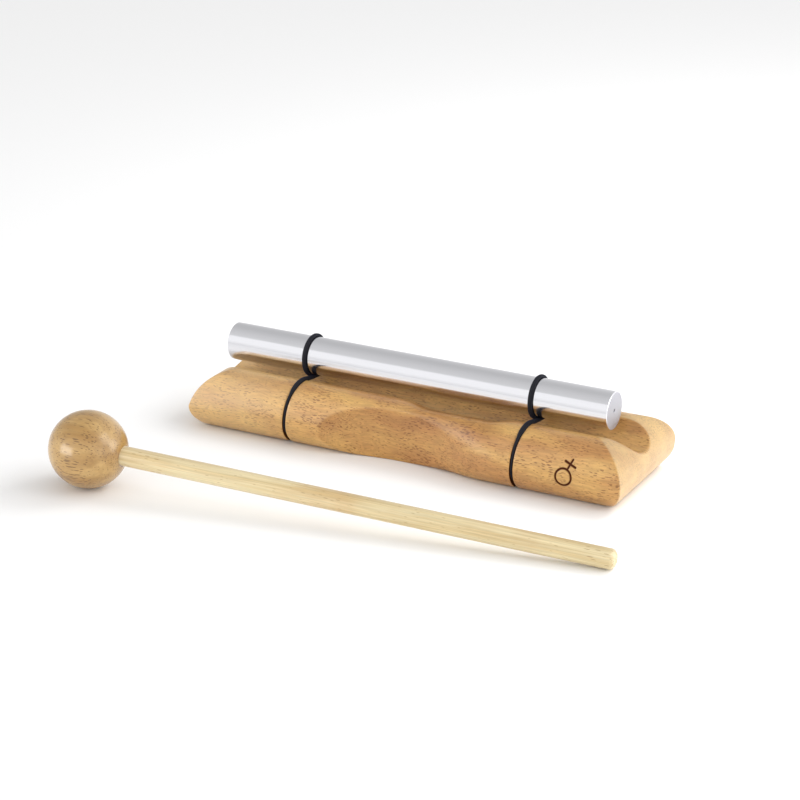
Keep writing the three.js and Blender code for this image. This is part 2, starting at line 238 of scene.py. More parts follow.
FLOOR_HALF, FLOOR_DROP = 4.0, 0.02 * MM  # a hair under the feet, so that no two surfaces coincide
floor_mesh = bpy.data.meshes.new("paper floor")
floor_corners = [(x * FLOOR_HALF, y * FLOOR_HALF, 0) for x, y in ((-1, -1), (1, -1), (1, 1), (-1, 1))]
floor_mesh.from_pydata(floor_corners, [], [(0, 1, 2, 3)])
floor = bpy.data.objects.new("paper floor", floor_mesh)
floor.location.z = -FLOOR_DROP
bpy.context.scene.collection.objects.link(floor)
paper, tree, shader, _ = new_material("white paper")
shader.inputs["Base Color"].default_value = colour("f6f6f6")
shader.inputs["Roughness"].default_value = 0.9
floor_mesh.materials.append(paper)
lights_only(table_light, [floor])

# %% [markdown]
# Meshes from grids of points
#
# Every new surface here is a grid: numpy works out all its points at once, from a formula in two
# parameters. Neighbouring points make the four-sided faces, and a grid can close on itself round a
# tube. The first function gives those faces. The second closes both ends of a tube to a point. The
# third puts points and faces into a mesh, shades it smooth, and keeps an edge sharp where two faces
# meet at a steep angle.

# %% Grid helpers
def quads(numbers, wrap_columns=False):
    """Four-sided faces over a grid of point numbers, with the last column joined to the first or not."""
    if wrap_columns:
        numbers = np.hstack([numbers, numbers[:, :1]])
    return np.stack([numbers[:-1, :-1], numbers[1:, :-1], numbers[1:, 1:], numbers[:-1, 1:]],
                    axis=-1).reshape(-1, 4)


def capped(tube, ends):
    """Points and faces of a tube, given as rings of points, with each end closed to one point."""
    numbers = np.arange(tube[..., 0].size).reshape(tube.shape[:2])
    first = np.full((1, tube.shape[1]), numbers.size)
    faces = quads(np.vstack([first, numbers, first + 1]), wrap_columns=True)
    return np.concatenate([tube.reshape(-1, 3), ends]), faces


def make_piece(name, points, faces, material, sharp_degrees=50):
    """A mesh object at the origin, with its faces turned outwards if its volume comes out negative."""
    mesh = bpy.data.meshes.new(name)
    mesh.from_pydata(points.tolist(), [], [list(dict.fromkeys(f)) for f in faces])
    mesh.materials.append(material)
    piece = bpy.data.objects.new(name, mesh)
    bpy.context.scene.collection.objects.link(piece)
    shape = bmesh.new()
    shape.from_mesh(mesh)
    volume = shape.calc_volume(signed=True)
    if volume < 0:
        bmesh.ops.reverse_faces(shape, faces=shape.faces)
        shape.to_mesh(mesh)
    open_edges = sum(not e.is_manifold for e in shape.edges)
    shape.free()
    mesh.shade_smooth()
    mesh.set_sharp_from_angle(angle=math.radians(sharp_degrees))
    print(f"{name}: {len(mesh.polygons)} faces, {abs(volume) / MM**3:.0f} mm3, {open_edges} open edges")
    return piece


# %% [markdown]
# The block
#
# It is one piece of hardwood, rounded on all four sides by the same cutter: from the widest line,
# two fifths of the way up, one quarter ellipse rises to the flat top and a flatter one falls to the
# underside. The rounded sides and ends meet in mitres. A round channel runs along the top under the
# rod, a shallow grip is scooped out of each long side, and then everything was sanded, which took
# the edge off each of these meetings.
# The sanding is what makes wood look like wood, and it is easy to have: the block is described as a
# distance, below zero inside the wood, and where two surfaces meet their distances are joined by a
# soft maximum. A grid of points near the block is then pulled onto the place where it is zero.
# It was sanded by hand, so it isn't quite even: the left end is a little flatter than the right one,
# the grip's edge is crisp at the left and lost at the right, and right of the middle the front rim of
# the channel is worn back by a second, wider drum.

# %% The block as a distance
low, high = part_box("base_block")
half_length, half_width, block_height = high.x, high.y, high.z
EDGE_REACH = 15.8 * MM
WIDEST_HEIGHT = 9.6 * MM
UNDER_ROUND = 12 * MM
CHANNEL_RADIUS = 11.9 * MM
CHANNEL_DEPTH = 7.8 * MM
SCOOP_LENGTH, SCOOP_DEPTH = 70 * MM, 8.4 * MM
MITRE_SANDING, RIM_SANDING, SCOOP_SANDING, FOOT_SANDING = 0.8 * MM, 0.5 * MM, 0.6 * MM, 1.2 * MM
SCOOP_SANDING_RIGHT, SCOOP_SOFTER_TO = 5 * MM, 26 * MM
FLATTER_LEFT, FULLER_RIGHT, ENDS_FROM = 0.9 * MM, 0.6 * MM, 62 * MM
WORN_RADIUS, WORN_CENTRE, WORN_LIFT, WORN_SANDING = 37 * MM, 56.6 * MM, 3.2 * MM, 1.6 * MM
WORN_FROM, WORN_TO, WORN_FADE = 2 * MM, 42 * MM, 14 * MM

top_round = block_height - WIDEST_HEIGHT
channel_centre = block_height - CHANNEL_DEPTH + CHANNEL_RADIUS
scoop_radius = (SCOOP_LENGTH**2 / 4 + SCOOP_DEPTH**2) / (2 * SCOOP_DEPTH)
scoop_centre = half_width - SCOOP_DEPTH + scoop_radius


def ease(t):
    """From 0 to 1 with soft ends: 3 t^2 - 2 t^3, clamped."""
    t = np.clip(t, 0, 1)
    return t * t * (3 - 2 * t)


def soft_max(a, b, band):
    """The larger of a and b; where they differ by less than band, a parabola rounds the corner."""
    overlap = np.clip(1 - np.abs(a - b) / band, 0, 1)
    return np.maximum(a, b) + overlap**2 * band / 4


def block_distance(p):
    """Distance to the block's surface, below zero in the wood.

    Round the middle: (reach / a)^2 + (rise / b)^2 - 1 over its own steepness, where reach is how far
    the point lies past the flat top's border and rise its height over the widest line.
    The underside, the scoops' drums, the channel's tube and the wider drum that wore its rim then
    each cut it by a soft maximum."""
    x, y, z = np.abs(p[..., 0]), np.abs(p[..., 1]), p[..., 2]
    reach = np.maximum(soft_max(x - half_length, y - half_width, MITRE_SANDING) + EDGE_REACH, 0)
    rise = z - WIDEST_HEIGHT
    tall = np.where(rise > 0, top_round, UNDER_ROUND)
    steepness = 2 * np.hypot(reach / EDGE_REACH**2, rise / tall**2)
    pillow = ((reach / EDGE_REACH)**2 + (rise / tall)**2 - 1) / np.maximum(steepness, 1)
    share = np.clip(rise / top_round, 0, 1)
    by_hand = np.where(p[..., 0] < 0, -FLATTER_LEFT, FULLER_RIGHT) * 4 * share * (1 - share)
    pillow -= by_hand * np.clip((x - ENDS_FROM) / (half_length - ENDS_FROM), 0, 1)
    wood = soft_max(pillow, -z, FOOT_SANDING)
    sanded = SCOOP_SANDING + (SCOOP_SANDING_RIGHT - SCOOP_SANDING) * ease(p[..., 0] / SCOOP_SOFTER_TO)
    wood = soft_max(wood, scoop_radius - np.hypot(x, y - scoop_centre), sanded)
    wood = soft_max(wood, CHANNEL_RADIUS - np.hypot(y, z - channel_centre), RIM_SANDING)
    inside = np.minimum(p[..., 0] - WORN_FROM, WORN_TO - p[..., 0]) / WORN_FADE + 0.5
    lifted = np.where(p[..., 1] < 0, 1 - ease(inside), 1) * WORN_LIFT
    return soft_max(wood, WORN_RADIUS - np.hypot(y, z - WORN_CENTRE - lifted), WORN_SANDING)


def pull_onto_block(points, rounds=4, step=0.02 * MM, least_steep=0.25):
    """Newton's method: each point moves by its distance, against the slope of the distance there."""
    for _ in range(rounds):
        here = block_distance(points)
        ahead = np.stack([block_distance(points + step * axis) for axis in np.eye(3)], axis=-1)
        slope = (ahead - here[..., None]) / step
        steep = np.maximum((slope**2).sum(-1), least_steep)
        points = points - slope * (here / steep)[..., None]
    return points


# %% [markdown]
# One outline across the block, seen from its end, is carried along its length. The upper half of the
# outline and the lower half have the same number of points, at the same places across, so the
# rounded ends can be closed by lines that drop from each upper point to the lower one beneath it.
# Towards the ends the outline's points don't stop together: each goes on to where the end's own
# rounding is at its height, which draws the mitres.

# %% The block's outline and stations
SIDE_STEPS, CHANNEL_STEPS = 56, 34
# closer points where the rim is rounded: out from it on the top, and angles down from it in the channel
BY_THE_RIM = np.array([1.55, 1.1, 0.72, 0.42, 0.18]) * MM
BELOW_RIM, CHANNEL_FROM = np.array([0, 0.014, 0.034, 0.062]), 0.1
turn = np.linspace(0, math.pi / 2, SIDE_STEPS + 1)
channel_half = math.sqrt(CHANNEL_RADIUS**2 - (channel_centre - block_height)**2)
shoulder = half_width - EDGE_REACH

side_y = -shoulder - EDGE_REACH * np.cos(turn)
rim_y = -channel_half - BY_THE_RIM
lean = math.atan2(channel_half, channel_centre - block_height)
below_rim = lean - BELOW_RIM
swing = np.concatenate([-below_rim, np.linspace(-1, 1, CHANNEL_STEPS) * (lean - CHANNEL_FROM),
                        below_rim[::-1]])
across = np.concatenate([side_y, rim_y, CHANNEL_RADIUS * np.sin(swing), -rim_y[::-1], -side_y[::-1]])
side_z = WIDEST_HEIGHT + top_round * np.sin(turn)
flat_z = np.full(len(rim_y), block_height)
upper_z = np.concatenate([side_z, flat_z, channel_centre - CHANNEL_RADIUS * np.cos(swing), flat_z,
                          side_z[::-1]])
out = np.clip((np.abs(across) - shoulder) / EDGE_REACH, 0, 1)
lower_z = np.maximum(WIDEST_HEIGHT - UNDER_ROUND * np.sqrt(1 - out**2), 0)
count = len(across)
loop_y = np.concatenate([across, across[-2:0:-1]])
loop_z = np.concatenate([upper_z, lower_z[-2:0:-1]])

KERF_PLACE, KERF_HALF = 52 * MM, 0.75 * MM
LIPS = np.array([1.6, 1.25, 1.0, 0.85, 0.75]) * MM  # stations that ease a kerf's lips
KERF_FLOOR = np.array([0.745, 0.3]) * MM
EVEN_HALF = 60 * MM  # from here outwards the points spread to their own ends
STEP, SIGN_STEP = 1.2, 0.55  # millimetres between stations, by the sign closer
NEAR_END = np.array([95.2, 96.2, 97, 97.6, 98.1, 98.45, 98.7])  # closer and closer as it rounds off
even = np.arange(-EVEN_HALF / MM, EVEN_HALF / MM + 0.5) * MM
even = even[np.abs(np.abs(even) - KERF_PLACE) > LIPS[0]]
around_kerf = np.concatenate([-LIPS, -KERF_FLOOR, KERF_FLOOR[::-1], LIPS[::-1]])
plain_end = np.concatenate([np.arange(61.2, 95, STEP), NEAR_END]) * MM
sign_end = np.concatenate([np.arange(61.2, 70, STEP), np.arange(70.2, 81.5, SIGN_STEP),
                           np.arange(82.4, 95, STEP), NEAR_END]) * MM
stations = np.sort(np.concatenate([-plain_end, even, around_kerf - KERF_PLACE, around_kerf + KERF_PLACE,
                                   sign_end]))
print(f"outline of {len(loop_y)} points, carried over {len(stations)} stations")


def end_reach(z):
    """How far from the middle the block's end is at height z: the same two quarter ellipses."""
    rise = z - WIDEST_HEIGHT
    tall = np.where(rise > 0, top_round, UNDER_ROUND)
    return half_length - EDGE_REACH * (1 - np.sqrt(np.clip(1 - (rise / tall)**2, 0, 1)))


# %% [markdown]
# The kerfs are the two saw cuts that hold the cords. They are deeper at the sides than over the rims.
# At a few stations the outline is swapped for the saw cut's own floor, which has a point for each
# point of the outline. The stations just beside it dip a little, which eases the cut's lips. They dip
# more over the top, where the cord has worn them.

# %% The block's skin
KERF_SIDE_DEPTH, KERF_RIM_DEPTH, KERF_UNDER_DEPTH = 2.8 * MM, 1.0 * MM, 2.8 * MM
LIP_DIP, WORN_DIP = 0.26 * MM, 0.42 * MM
WORN_SHARES = 0.8, 0.95  # of the block's height, between which the lips go from little worn to much
HAIR = 0.001 * MM  # what two equal measures may differ by
CAP_STEPS, EVEN_FALL_SHARE = 44, 0.75  # the rest of the spacing crowds towards a cap's two borders

x = stations[:, None]
beyond = np.clip((np.abs(x) - EVEN_HALF) / (half_length - EVEN_HALF), 0, 1)
skin = np.empty((len(stations), len(loop_y), 3))
skin[..., 0] = np.sign(x) * (np.minimum(np.abs(x), EVEN_HALF)
                             + beyond * (end_reach(loop_z) - EVEN_HALF))
drum = scoop_centre - np.sqrt(scoop_radius**2 - np.clip(skin[..., 0], -SCOOP_LENGTH, SCOOP_LENGTH)**2)
skin[..., 1] = np.sign(loop_y) * np.minimum(np.abs(loop_y), drum)
skin[..., 2] = loop_z

fall = np.linspace(0, 1, CAP_STEPS + 1)[1:-1]
fall = EVEN_FALL_SHARE * fall + (1 - EVEN_FALL_SHARE) * (1 - np.cos(math.pi * fall)) / 2


def profile_turn(z):
    """The angle on the quarter ellipses that belongs to height z, below zero under the widest line."""
    rise = z - WIDEST_HEIGHT
    return np.arcsin(np.clip(rise / np.where(rise > 0, top_round, UNDER_ROUND), -1, 1))


start, end = profile_turn(upper_z[1:-1]), profile_turn(lower_z[1:-1])
between = start + (end - start) * fall[:, None]
cap = np.empty((len(fall), count - 2, 3))
cap[..., 2] = WIDEST_HEIGHT + np.where(between > 0, top_round, UNDER_ROUND) * np.sin(between)
cap[..., 0] = end_reach(cap[..., 2])
cap[..., 1] = across[1:-1]

skin = pull_onto_block(skin)
right_cap = pull_onto_block(cap)
left_cap = pull_onto_block(cap * (-1, 1, 1))

ground = np.where(loop_z <= WIDEST_HEIGHT, WIDEST_HEIGHT - KERF_UNDER_DEPTH, top_round - KERF_RIM_DEPTH)
out = np.clip((np.abs(loop_y) - shoulder) / EDGE_REACH, 0, 1)
kerf_y = np.sign(loop_y) * np.where(np.abs(loop_y) > shoulder,
                                    shoulder + (EDGE_REACH - KERF_SIDE_DEPTH) * out, np.abs(loop_y))
lower_half = np.arange(len(loop_y)) >= count
kerf_z = WIDEST_HEIGHT + np.where(lower_half, -1, 1) * ground * np.sqrt(1 - out**2)
in_channel = np.abs(loop_y) < channel_half + HAIR
kerf_z = np.where(in_channel & ~lower_half, np.minimum(loop_z, block_height - KERF_RIM_DEPTH), kerf_z)
kerf = np.stack([kerf_y, kerf_z], axis=-1)

worn = np.where(lower_half, 0, np.interp(loop_z / block_height, WORN_SHARES, (0, 1)))
lip_dip = (LIP_DIP + (WORN_DIP - LIP_DIP) * worn)[:, None]
from_kerf = np.abs(np.abs(stations) - KERF_PLACE)
for i in np.flatnonzero(from_kerf < LIPS[0]):
    if from_kerf[i] < KERF_HALF - HAIR:
        skin[i, :, 1:] = kerf
    else:
        towards = kerf - skin[i, :, 1:]
        deep = np.maximum(np.linalg.norm(towards, axis=-1, keepdims=True), HAIR)
        dip = lip_dip * (1 - (from_kerf[i] - KERF_HALF) / (LIPS[0] - KERF_HALF))**3
        skin[i, :, 1:] += towards * np.minimum(dip / deep, 1)
print("kerf floor stands", round(kerf_z[lower_half].min() / MM, 2), "mm over the table")

# %% [markdown]
# The skin and the two caps share the points along the end outlines, so the faces are listed by point
# numbers. An upper end point and the lower one beneath it are on the same column of a cap.

# %% Joining skin and caps
skin_numbers = np.arange(skin[..., 0].size).reshape(skin.shape[:2])
cap_numbers = skin_numbers.size + np.arange(cap[..., 0].size).reshape(cap.shape[:2])


def cap_faces(numbers, edge):
    """Columns from the upper outline down the cap's own points to the lower outline."""
    inner = np.vstack([edge[1:count - 1], numbers, edge[:count - 1:-1]])
    first, last = (np.full((len(inner), 1), edge[i]) for i in (0, count - 1))
    return quads(np.hstack([first, inner, last]))


block_points = np.concatenate([skin.reshape(-1, 3), left_cap.reshape(-1, 3), right_cap.reshape(-1, 3)])
block_faces = np.concatenate([
    quads(skin_numbers, wrap_columns=True),
    cap_faces(cap_numbers, skin_numbers[0])[:, ::-1],
    cap_faces(cap_numbers + cap_numbers.size, skin_numbers[-1])])
print(f"block: {len(block_points)} points, {len(block_faces)} faces")

# %% [markdown]
# The wood's look
#
# The block is a pale tropical hardwood such as rubberwood, planed, sanded and sprayed with satin
# lacquer. Such a wood is known by its pores: open vessels that show as short dark dashes along the
# grain on a face, and as dots across it. They aren't painted on. They are long thin cells in space,
# so wherever a surface cuts them they show as they should. A cell pattern stretched along the grain
# gives them: a Mapping node of the Texture kind divides space by the pore's real length and width.
# Real pores are a tenth of a millimetre wide, too fine for the picture, so they are drawn up to half
# a millimetre wide. Broad figure and fine fibres are noise, stretched in the same way.

# %% Wood recipe
# the part of each noise's range that is stretched to the whole of it
FIGURE_BAND, CLOUD_BAND, FIBRE_BAND, CROWD_BAND = (0.34, 0.68), (0.45, 0.75), (0.3, 0.7), (0.35, 0.7)
SPARSE_SHARE, PORE_RIM, STREAK_GAIN = 0.55, 0.1, 0.4
RELIEF_STRENGTH, RELIEF_HEIGHT, FIBRE_RELIEF = 0.35, 0.05 * MM, 0.25


def grain_space(tree, place, length, width, centre=(0, 0, 0), turn=(0, 0, 0)):
    """Space divided by a pattern's length along the grain and its width across, round a centre."""
    feeds = {"Vector": place, "Location": centre, "Rotation": turn, "Scale": (length, width, width)}
    return add(tree, "Mapping", feeds, vector_type="TEXTURE").outputs[0]


def noise(tree, place, size, detail, **feeds):
    """Cloudy noise whose clouds are as large as size says."""
    return add(tree, "TexNoise", {"Vector": place, "Scale": 1 / size, "Detail": detail, **feeds})


def wood(name, look, **grain):
    """A lacquered wood. look holds its colours, the sizes of its figure, fibres, pores and clouds, and
    shares. grain may give the centre and the turn of its grain."""
    material, tree, shader, place = new_material(name)
    wander = noise(tree, place, look["wander"], 2)
    drift = add(tree, "VectorMath", {0: wander.outputs["Color"], 1: (0.5, 0.5, 0.5)}, operation="SUBTRACT")
    push = add(tree, "VectorMath", {0: drift.outputs[0], "Scale": look["bend"]}, operation="SCALE")
    bent = add(tree, "VectorMath", {0: place, 1: push.outputs[0]}, operation="ADD").outputs[0]

    figure = noise(tree, grain_space(tree, bent, *look["figure"], **grain), 1, 4, Roughness=0.55)
    tone = remap(tree, figure.outputs["Fac"], *FIGURE_BAND)
    body = blended(tree, "MIX", tone, colour(look["pale"]), colour(look["deep"]))
    cloud = noise(tree, place, look["cloud"], 3)
    warmth = remap(tree, cloud.outputs["Fac"], *CLOUD_BAND, 0, look["cloudy"])
    body = blended(tree, "MIX", warmth, body, colour(look["warm"]))
    fibre = noise(tree, grain_space(tree, bent, *look["fibre"], **grain), 1, 3, Roughness=0.6)
    streaky = look["streaky"]
    streak = remap(tree, fibre.outputs["Fac"], *FIBRE_BAND, 1 - streaky, 1 + streaky * STREAK_GAIN)
    grey = add(tree, "CombineColor", {i: streak for i in range(3)})
    body = blended(tree, "MULTIPLY", 1.0, body, grey.outputs[0])

    cells = add(tree, "TexVoronoi", {"Vector": grain_space(tree, bent, *look["pore"], **grain),
                                     "Scale": 1, "Randomness": 1.0})
    crowd = noise(tree, place, look["crowd"], 2)
    widest = look["pore_share"]
    reach = remap(tree, crowd.outputs["Fac"], *CROWD_BAND, widest * SPARSE_SHARE, widest)
    pore = remap(tree, calc(tree, "SUBTRACT", reach, cells.outputs["Distance"]), 0, PORE_RIM)
    dark = calc(tree, "MULTIPLY", pore, look["pore_depth"])
    body = blended(tree, "MIX", dark, body, colour(look["pore_colour"]))

    tree.links.new(body, shader.inputs["Base Color"])
    shader.inputs["Roughness"].default_value = look["roughness"]
    shader.inputs["IOR"].default_value = 1.5
    shader.inputs["Coat Weight"].default_value = look["coat"]
    shader.inputs["Coat Roughness"].default_value = look["coat_roughness"]
    sunk = calc(tree, "MULTIPLY", pore, -1)
    relief = calc(tree, "MULTIPLY_ADD", fibre.outputs["Fac"], FIBRE_RELIEF, sunk)
    bump = add(tree, "Bump", {"Height": relief, "Strength": RELIEF_STRENGTH, "Distance": RELIEF_HEIGHT})
    tree.links.new(bump.outputs[0], shader.inputs["Normal"])
    return material, tree, shader, body


# %% [markdown]
# The block's own wood is tan, with broad pale and deep streaks tens of millimetres long, and it is
# a little warmer in clouds. Its ends are the same wood, cut across.

# %% Block wood
BLOCK_LOOK = dict(pale="cfa35f", deep="b5834b", warm="ae7645", pore_colour="64330f",
                  figure=(50 * MM, 11 * MM), fibre=(7 * MM, 0.7 * MM), pore=(2.5 * MM, 0.6 * MM),
                  wander=13 * MM, bend=4.5 * MM, cloud=20 * MM, crowd=9 * MM, cloudy=0.3, streaky=0.2,
                  pore_share=0.43, pore_depth=0.62, roughness=0.4, coat=0.5, coat_roughness=0.3)
block_wood, block_tree, block_shader, block_body = wood("lacquered rubberwood", BLOCK_LOOK)
block_shader.inputs["Specular IOR Level"].default_value = 0.28  # bare wood under the thin lacquer
block = make_piece("block", block_points, block_faces, block_wood)
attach(block, "base")
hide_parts("base_block")

# %% [markdown]
# The sign
#
# A small circle with a cross on a stem, the old sign of Venus, is burnt into the front near the right
# end. A hot line sinks a little and turns dark brown. The faces there are first split finely enough to
# carry a line less than a millimetre wide. Each point then asks how far it is from the nearest stroke:
# from a ring that is the distance to the centre less the radius, and from a straight stroke it is
# the distance to the nearest point between its ends. The two kerfs get most of the same brown as a
# painted shade down in the cuts, and lose most of the lacquer's shine with it.
# How burnt a point is, or how deep in that painted kerf shade, goes with the mesh as a value for each
# of its points, which the material reads.

# %% Burnt sign and painted kerf shade
RING_CENTRE, RING_RADIUS = np.array([74.6, 11.5]) * MM, 3.35 * MM
CROSS_CENTRE, STEM_TOP = np.array([77.1, 16.95]) * MM, np.array([77.55, 18.3]) * MM
ARM_LEFT, ARM_RIGHT = np.array([74.6, 17.55]) * MM, np.array([79.3, 15.9]) * MM
STROKE_HALF, STROKE_BLUR, BURN_DEPTH = 0.45 * MM, 0.16 * MM, 0.2 * MM
KERF_SHADE_SHARE = 0.95
SIGN_LOW, SIGN_HIGH, SIGN_SPLITS = np.array([69.8, 6.8]) * MM, np.array([80.5, 19.8]) * MM, 3
SPLIT_MARGIN = 0.3 * MM


def from_stroke(p, a, b):
    """Distance from points p to the straight stroke between a and b."""
    along = np.clip(((p - a) @ (b - a)) / ((b - a) @ (b - a)), 0, 1)
    return np.linalg.norm(p - (a + along[:, None] * (b - a)), axis=1)


def by_the_sign(points, margin=0):
    """Which points of the front lie in the window round the sign, widened by a margin."""
    place = points[:, [0, 2]]
    inside = np.all((place > SIGN_LOW - margin) & (place < SIGN_HIGH + margin), axis=1)
    return inside & (points[:, 1] < -channel_half)


def paint(name, values):
    """Stores a value for each point of the block, and gives the shader output that reads it."""
    block.data.attributes.new(name, "FLOAT", "POINT").data.foreach_set("value", values)
    return add(block_tree, "Attribute", attribute_name=name).outputs["Fac"]


shape = bmesh.new()
shape.from_mesh(block.data)
in_window = by_the_sign(np.array([v.co for v in shape.verts]))
window = [e for e in shape.edges if all(in_window[v.index] for v in e.verts)]
bmesh.ops.subdivide_edges(shape, edges=window, cuts=SIGN_SPLITS, use_grid_fill=True)
shape.to_mesh(block.data)
shape.free()

points = np.empty((len(block.data.vertices), 3))
block.data.vertices.foreach_get("co", points.ravel())
split = np.flatnonzero(by_the_sign(points, SPLIT_MARGIN))
points[split] = pull_onto_block(points[split])
drawn = points[split][:, [0, 2]]
to_cross = CROSS_CENTRE - RING_CENTRE
stem_foot = RING_CENTRE + RING_RADIUS * to_cross / np.linalg.norm(to_cross)
nearest = np.abs(np.linalg.norm(drawn - RING_CENTRE, axis=1) - RING_RADIUS)
for a, b in ((stem_foot, STEM_TOP), (ARM_LEFT, ARM_RIGHT)):
    nearest = np.minimum(nearest, from_stroke(drawn, a, b))
in_kerf = (np.abs(np.abs(points[:, 0]) - KERF_PLACE) < KERF_HALF + HAIR) & (
    np.abs(points[:, 1]) > channel_half)
# painted shade: the kerf walls get most of the sign's dark brown
burn_and_kerf_shade = np.where(in_kerf, KERF_SHADE_SHARE, 0.0)
burn_and_kerf_shade[split] = np.clip((STROKE_HALF + STROKE_BLUR - nearest) / (2 * STROKE_BLUR), 0, 1)
points[split, 1] += BURN_DEPTH * burn_and_kerf_shade[split]
block.data.vertices.foreach_set("co", points.ravel())
burnt_and_kerf_shade = paint("burnt_and_kerf_shade", burn_and_kerf_shade)
print(f"sign: {int((burn_and_kerf_shade[split] > 0.5).sum())} of {len(split)} points are burnt")

# %% [markdown]
# Painted shade and painted sheen
#
# Right of the middle, the front rim under the rod and the left half of the grip's hollow get a
# painted shade: their wood colour is made a shade darker. Towards the left end, and on the two end
# faces away from the channel, the wood colour is made paler, a painted sheen in place of the lacquer's
# reflection. Each of these is a share between 0 and 1, worked out from how far a point is from the
# drum, the tube or the mitre that bounds it. The colours are then laid over one another: painted
# sheen, painted shade, then the burnt sign with the painted shade in the kerfs.

# %% Painted shade and sheen on the wood
RIM_SHADE_FROM, RIM_SHADE_FADE = 16.5 * MM, 4 * MM  # heights over the table
GRIP_SHADE_SHARE, EDGE_FADE = 0.5, 0.4 * MM
LEFT_SHEEN_SHARE, LEFT_SHEEN_FROM, LEFT_SHEEN_FADE = 0.26, -36 * MM, 44 * MM  # places along the block
END_SHEEN_SHARE, MITRE_FADE = 0.34, 1 * MM
SIGN_AND_KERF_DULL_SHARE = 0.85
x, y, z = points.T


def lies_on(off):
    """1 on a surface, 0 away from it, with a soft step in between; off is the distance from it."""
    return ease(1.5 - np.abs(off) / EDGE_FADE)


# painted shade: darker wood along the front rim right of the middle, where the rod shades it, and in the
# grip's left half
rim_shade = ease(np.minimum(x - WORN_FROM, WORN_TO - x) / WORN_FADE + 0.5)
rim_shade *= np.where(y < 0, ease((z - RIM_SHADE_FROM) / RIM_SHADE_FADE), 0)
in_drum = lies_on(np.hypot(x, np.abs(y) - scoop_centre) - scoop_radius)
in_tube = lies_on(np.hypot(y, z - channel_centre) - CHANNEL_RADIUS)
painted_shade = np.maximum(rim_shade, GRIP_SHADE_SHARE * in_drum * (1 - ease(x / SCOOP_SOFTER_TO)))
# painted sheen: paler wood towards the left end and on the end faces, in place of the lacquer's reflection
left_painted_sheen = LEFT_SHEEN_SHARE * ease((LEFT_SHEEN_FROM - x) / LEFT_SHEEN_FADE)
past_mitre = np.abs(x) - half_length - np.abs(y) + half_width
pale = np.maximum(left_painted_sheen, END_SHEEN_SHARE * ease(past_mitre / MITRE_FADE + 0.5) * (1 - in_tube))

# the paler colour mixed in here is the painted sheen
with_painted_sheen = blended(block_tree, "MIX", paint("pale", pale), block_body, colour("d2bd8f"))
# the multiplied colour is the painted shade
with_painted_shade = blended(block_tree, "MULTIPLY", paint("painted_shade", painted_shade), with_painted_sheen, colour("e0d2c4"))
scorched_and_kerf_shade = blended(block_tree, "MIX", burnt_and_kerf_shade, with_painted_shade, colour("421a04"))
block_tree.links.new(scorched_and_kerf_shade, block_shader.inputs["Base Color"])
# where burnt, and in the kerfs' painted shade, coat and specular fall
for shine in ("Coat Weight", "Specular IOR Level"):  # char is dull: no lacquer holds on it
    whole = block_shader.inputs[shine].default_value
    left = calc(block_tree, "MULTIPLY_ADD", burnt_and_kerf_shade, -SIGN_AND_KERF_DULL_SHARE * whole, whole)
    block_tree.links.new(left, block_shader.inputs[shine])
block.data.update()
print(f"pale over {np.mean(pale > 0.1):.0%} of the points, handled over {np.mean(painted_shade > 0.1):.0%}")

# %% [markdown]
# The rod
#
# It is solid round bar of aluminium, sawn to length, faced in a lathe, eased at its ends and
# polished along its length. Turning leaves the small centre mark in each end face. A turned solid is
# a profile carried round an axis: the profile's radius and place go in, and each ring of points is
# that radius times the cosine and sine of the angle. Polishing by hand leaves the bar a little uneven,
# which shows as ripples along the bright band and not as bumps, so that is left to the material.

# %% Turned pieces
def turned(profile, facets):
    """Points and faces of a profile of (place along X, radius) carried round X; it starts and ends at
    radius zero, where a ring becomes one point."""
    place, radius = np.asarray(profile, float).T
    angle = np.linspace(0, 2 * math.pi, facets, endpoint=False)
    ring = np.stack([np.zeros(facets), np.cos(angle), np.sin(angle)], axis=-1)
    tube = place[1:-1, None, None] * np.array([1, 0, 0]) + radius[1:-1, None, None] * ring
    return capped(tube, [(place[0], 0, 0), (place[-1], 0, 0)])


low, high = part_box("chime_rod")
rod_radius, rod_end = (high.z - low.z) / 2, (high.x - low.x) / 2
rod_middle = np.array([(high.x + low.x) / 2, 0, (high.z + low.z) / 2])
ROD_EASE, MARK_RADIUS, MARK_DEPTH = 0.35 * MM, 0.9 * MM, 0.8 * MM
ROD_FACETS, ROD_RINGS, EASE_STEPS = 160, 60, 6
quarter = np.linspace(0, math.pi / 2, EASE_STEPS + 1)
half_profile = np.concatenate([
    [(rod_end - MARK_DEPTH, 0), *((rod_end, r) for r in (MARK_RADIUS, 2 * MARK_RADIUS, rod_radius / 2))],
    np.stack([rod_end - ROD_EASE + ROD_EASE * np.cos(quarter),
              rod_radius - ROD_EASE + ROD_EASE * np.sin(quarter)], axis=-1)])
body_reach = rod_end - 2 * ROD_EASE
body = [(place, rod_radius) for place in np.linspace(body_reach, -body_reach, ROD_RINGS)]
rod_profile = np.concatenate([half_profile, body, half_profile[::-1] * (-1, 1)])
rod_points, rod_faces = turned(rod_profile, ROD_FACETS)

# %% [markdown]
# Polished aluminium is a bright, faintly blue-grey metal, metallic 1, with a roughness near 0.15.
# Its last polish ran along the bar, so the fine lines that are left are long and thin, and the
# slight unevenness is longer still. The end faces were cut in the lathe and not polished, so they are
# rougher and greyer, and the centre mark's dimple is painted dark as a painted shade. How far along
# the bar and how far from its axis a point is tells the shader where it is.

